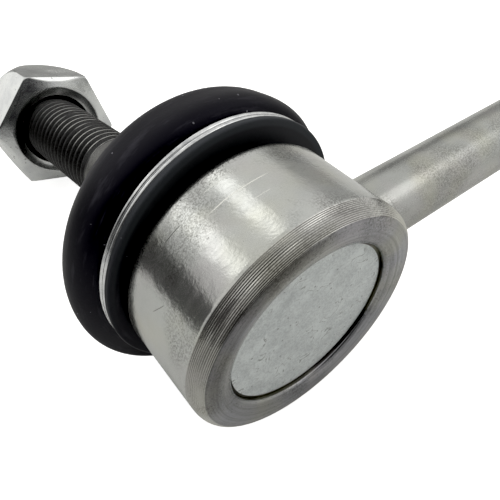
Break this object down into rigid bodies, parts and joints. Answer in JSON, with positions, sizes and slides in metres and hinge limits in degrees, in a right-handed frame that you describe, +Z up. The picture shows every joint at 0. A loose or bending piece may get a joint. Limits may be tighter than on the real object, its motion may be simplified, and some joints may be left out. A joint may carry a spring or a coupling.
{
  "type": "stabilizer link",
  "caption": "Steel suspension link: a straight rod with a crimped ball-joint housing at each end, each with a rubber boot, wire clamp, threaded stud and domed lock nut.",
  "frame": {"origin": "on the ground under the middle of the rod, the link lying on its two boots", "axes": "+X along the rod from end a to end b, +Y the way the stud of end a points, +Z up"},
  "size_m": [0.1946, 0.1346, 0.0338],
  "materials": {
    "zinc_steel": "zinc plated",
    "cover_steel": "zinc plated, matt",
    "seat_plastic": "moulded acetal",
    "phosphate_steel": "phosphated",
    "rubber": "matt",
    "spring_wire": "bright spring steel",
    "nylon": "satin",
    "bright_zinc": "bright zinc plated"
  },
  "bodies": {
    "link": {"link_rod": "zinc_steel", "housing_a": "zinc_steel", "cover_a": "cover_steel", "ball_seat_a": "seat_plastic", "housing_b": "zinc_steel", "cover_b": "cover_steel", "ball_seat_b": "seat_plastic"},
    "boot_a": {"dust_boot_a": "rubber", "clamp_ring_a": "spring_wire"},
    "boot_neck_a": {"neck_ring_a": "spring_wire"},
    "stud_a": {"ball_stud_a": "phosphate_steel"},
    "insert_a": {"nut_insert_a": "nylon"},
    "lock_nut_a": {"nut_a": "bright_zinc"},
    "boot_b": {"dust_boot_b": "rubber", "clamp_ring_b": "spring_wire"},
    "boot_neck_b": {"neck_ring_b": "spring_wire"},
    "stud_b": {"ball_stud_b": "phosphate_steel"},
    "insert_b": {"nut_insert_b": "nylon"},
    "lock_nut_b": {"nut_b": "bright_zinc"}
  },
  "joints": [
    {"name": "boot_turn_a", "type": "hinge", "parent": "link", "child": "boot_a", "pos_m": [-0.08, 0, 0.01773], "axis": [0, 1, 0], "continuous": true, "deforming": ["dust_boot_a"]},
    {"name": "stud_tilt_a", "type": "hinge", "parent": "boot_a", "child": "boot_neck_a", "pos_m": [-0.08, 0, 0.01773], "axis": [-0.9184, 0, 0.3955], "range_deg": [-28.4, 11.6], "deforming": ["dust_boot_a"]},
    {"name": "stud_spin_a", "type": "hinge", "parent": "boot_neck_a", "child": "stud_a", "pos_m": [-0.08, 0, 0.01773], "axis": [-0.0578, 0.9893, -0.1342], "continuous": true},
    {"name": "nut_travel_a", "type": "slide", "parent": "stud_a", "child": "insert_a", "axis": [-0.0578, 0.9893, -0.1342], "range_m": [-0.01375, 0.01]},
    {"name": "nut_turn_a", "type": "hinge", "parent": "insert_a", "child": "lock_nut_a", "pos_m": [-0.08289, 0.04946, 0.01102], "axis": [-0.0578, 0.9893, -0.1342], "range_deg": [-3960.1, 2880.1]},
    {"name": "boot_turn_b", "type": "hinge", "parent": "link", "child": "boot_b", "pos_m": [0.08, 0, 0.01773], "axis": [0, -1, 0], "continuous": true, "deforming": ["dust_boot_b"]},
    {"name": "stud_tilt_b", "type": "hinge", "parent": "boot_b", "child": "boot_neck_b", "pos_m": [0.08, 0, 0.01773], "axis": [0.9184, 0, 0.3955], "range_deg": [-28.4, 11.6], "deforming": ["dust_boot_b"]},
    {"name": "stud_spin_b", "type": "hinge", "parent": "boot_neck_b", "child": "stud_b", "pos_m": [0.08, 0, 0.01773], "axis": [0.0578, -0.9893, -0.1342], "continuous": true},
    {"name": "nut_travel_b", "type": "slide", "parent": "stud_b", "child": "insert_b", "axis": [0.0578, -0.9893, -0.1342], "range_m": [-0.01375, 0.01]},
    {"name": "nut_turn_b", "type": "hinge", "parent": "insert_b", "child": "lock_nut_b", "pos_m": [0.08289, -0.04946, 0.01102], "axis": [0.0578, -0.9893, -0.1342], "range_deg": [-3960.1, 2880.1]}
  ],
  "couplings": [
    {"joint": "nut_turn_a", "follows": "nut_travel_a", "rad_per_m": 5026.5},
    {"joint": "nut_turn_b", "follows": "nut_travel_b", "rad_per_m": 5026.5}
  ]
}
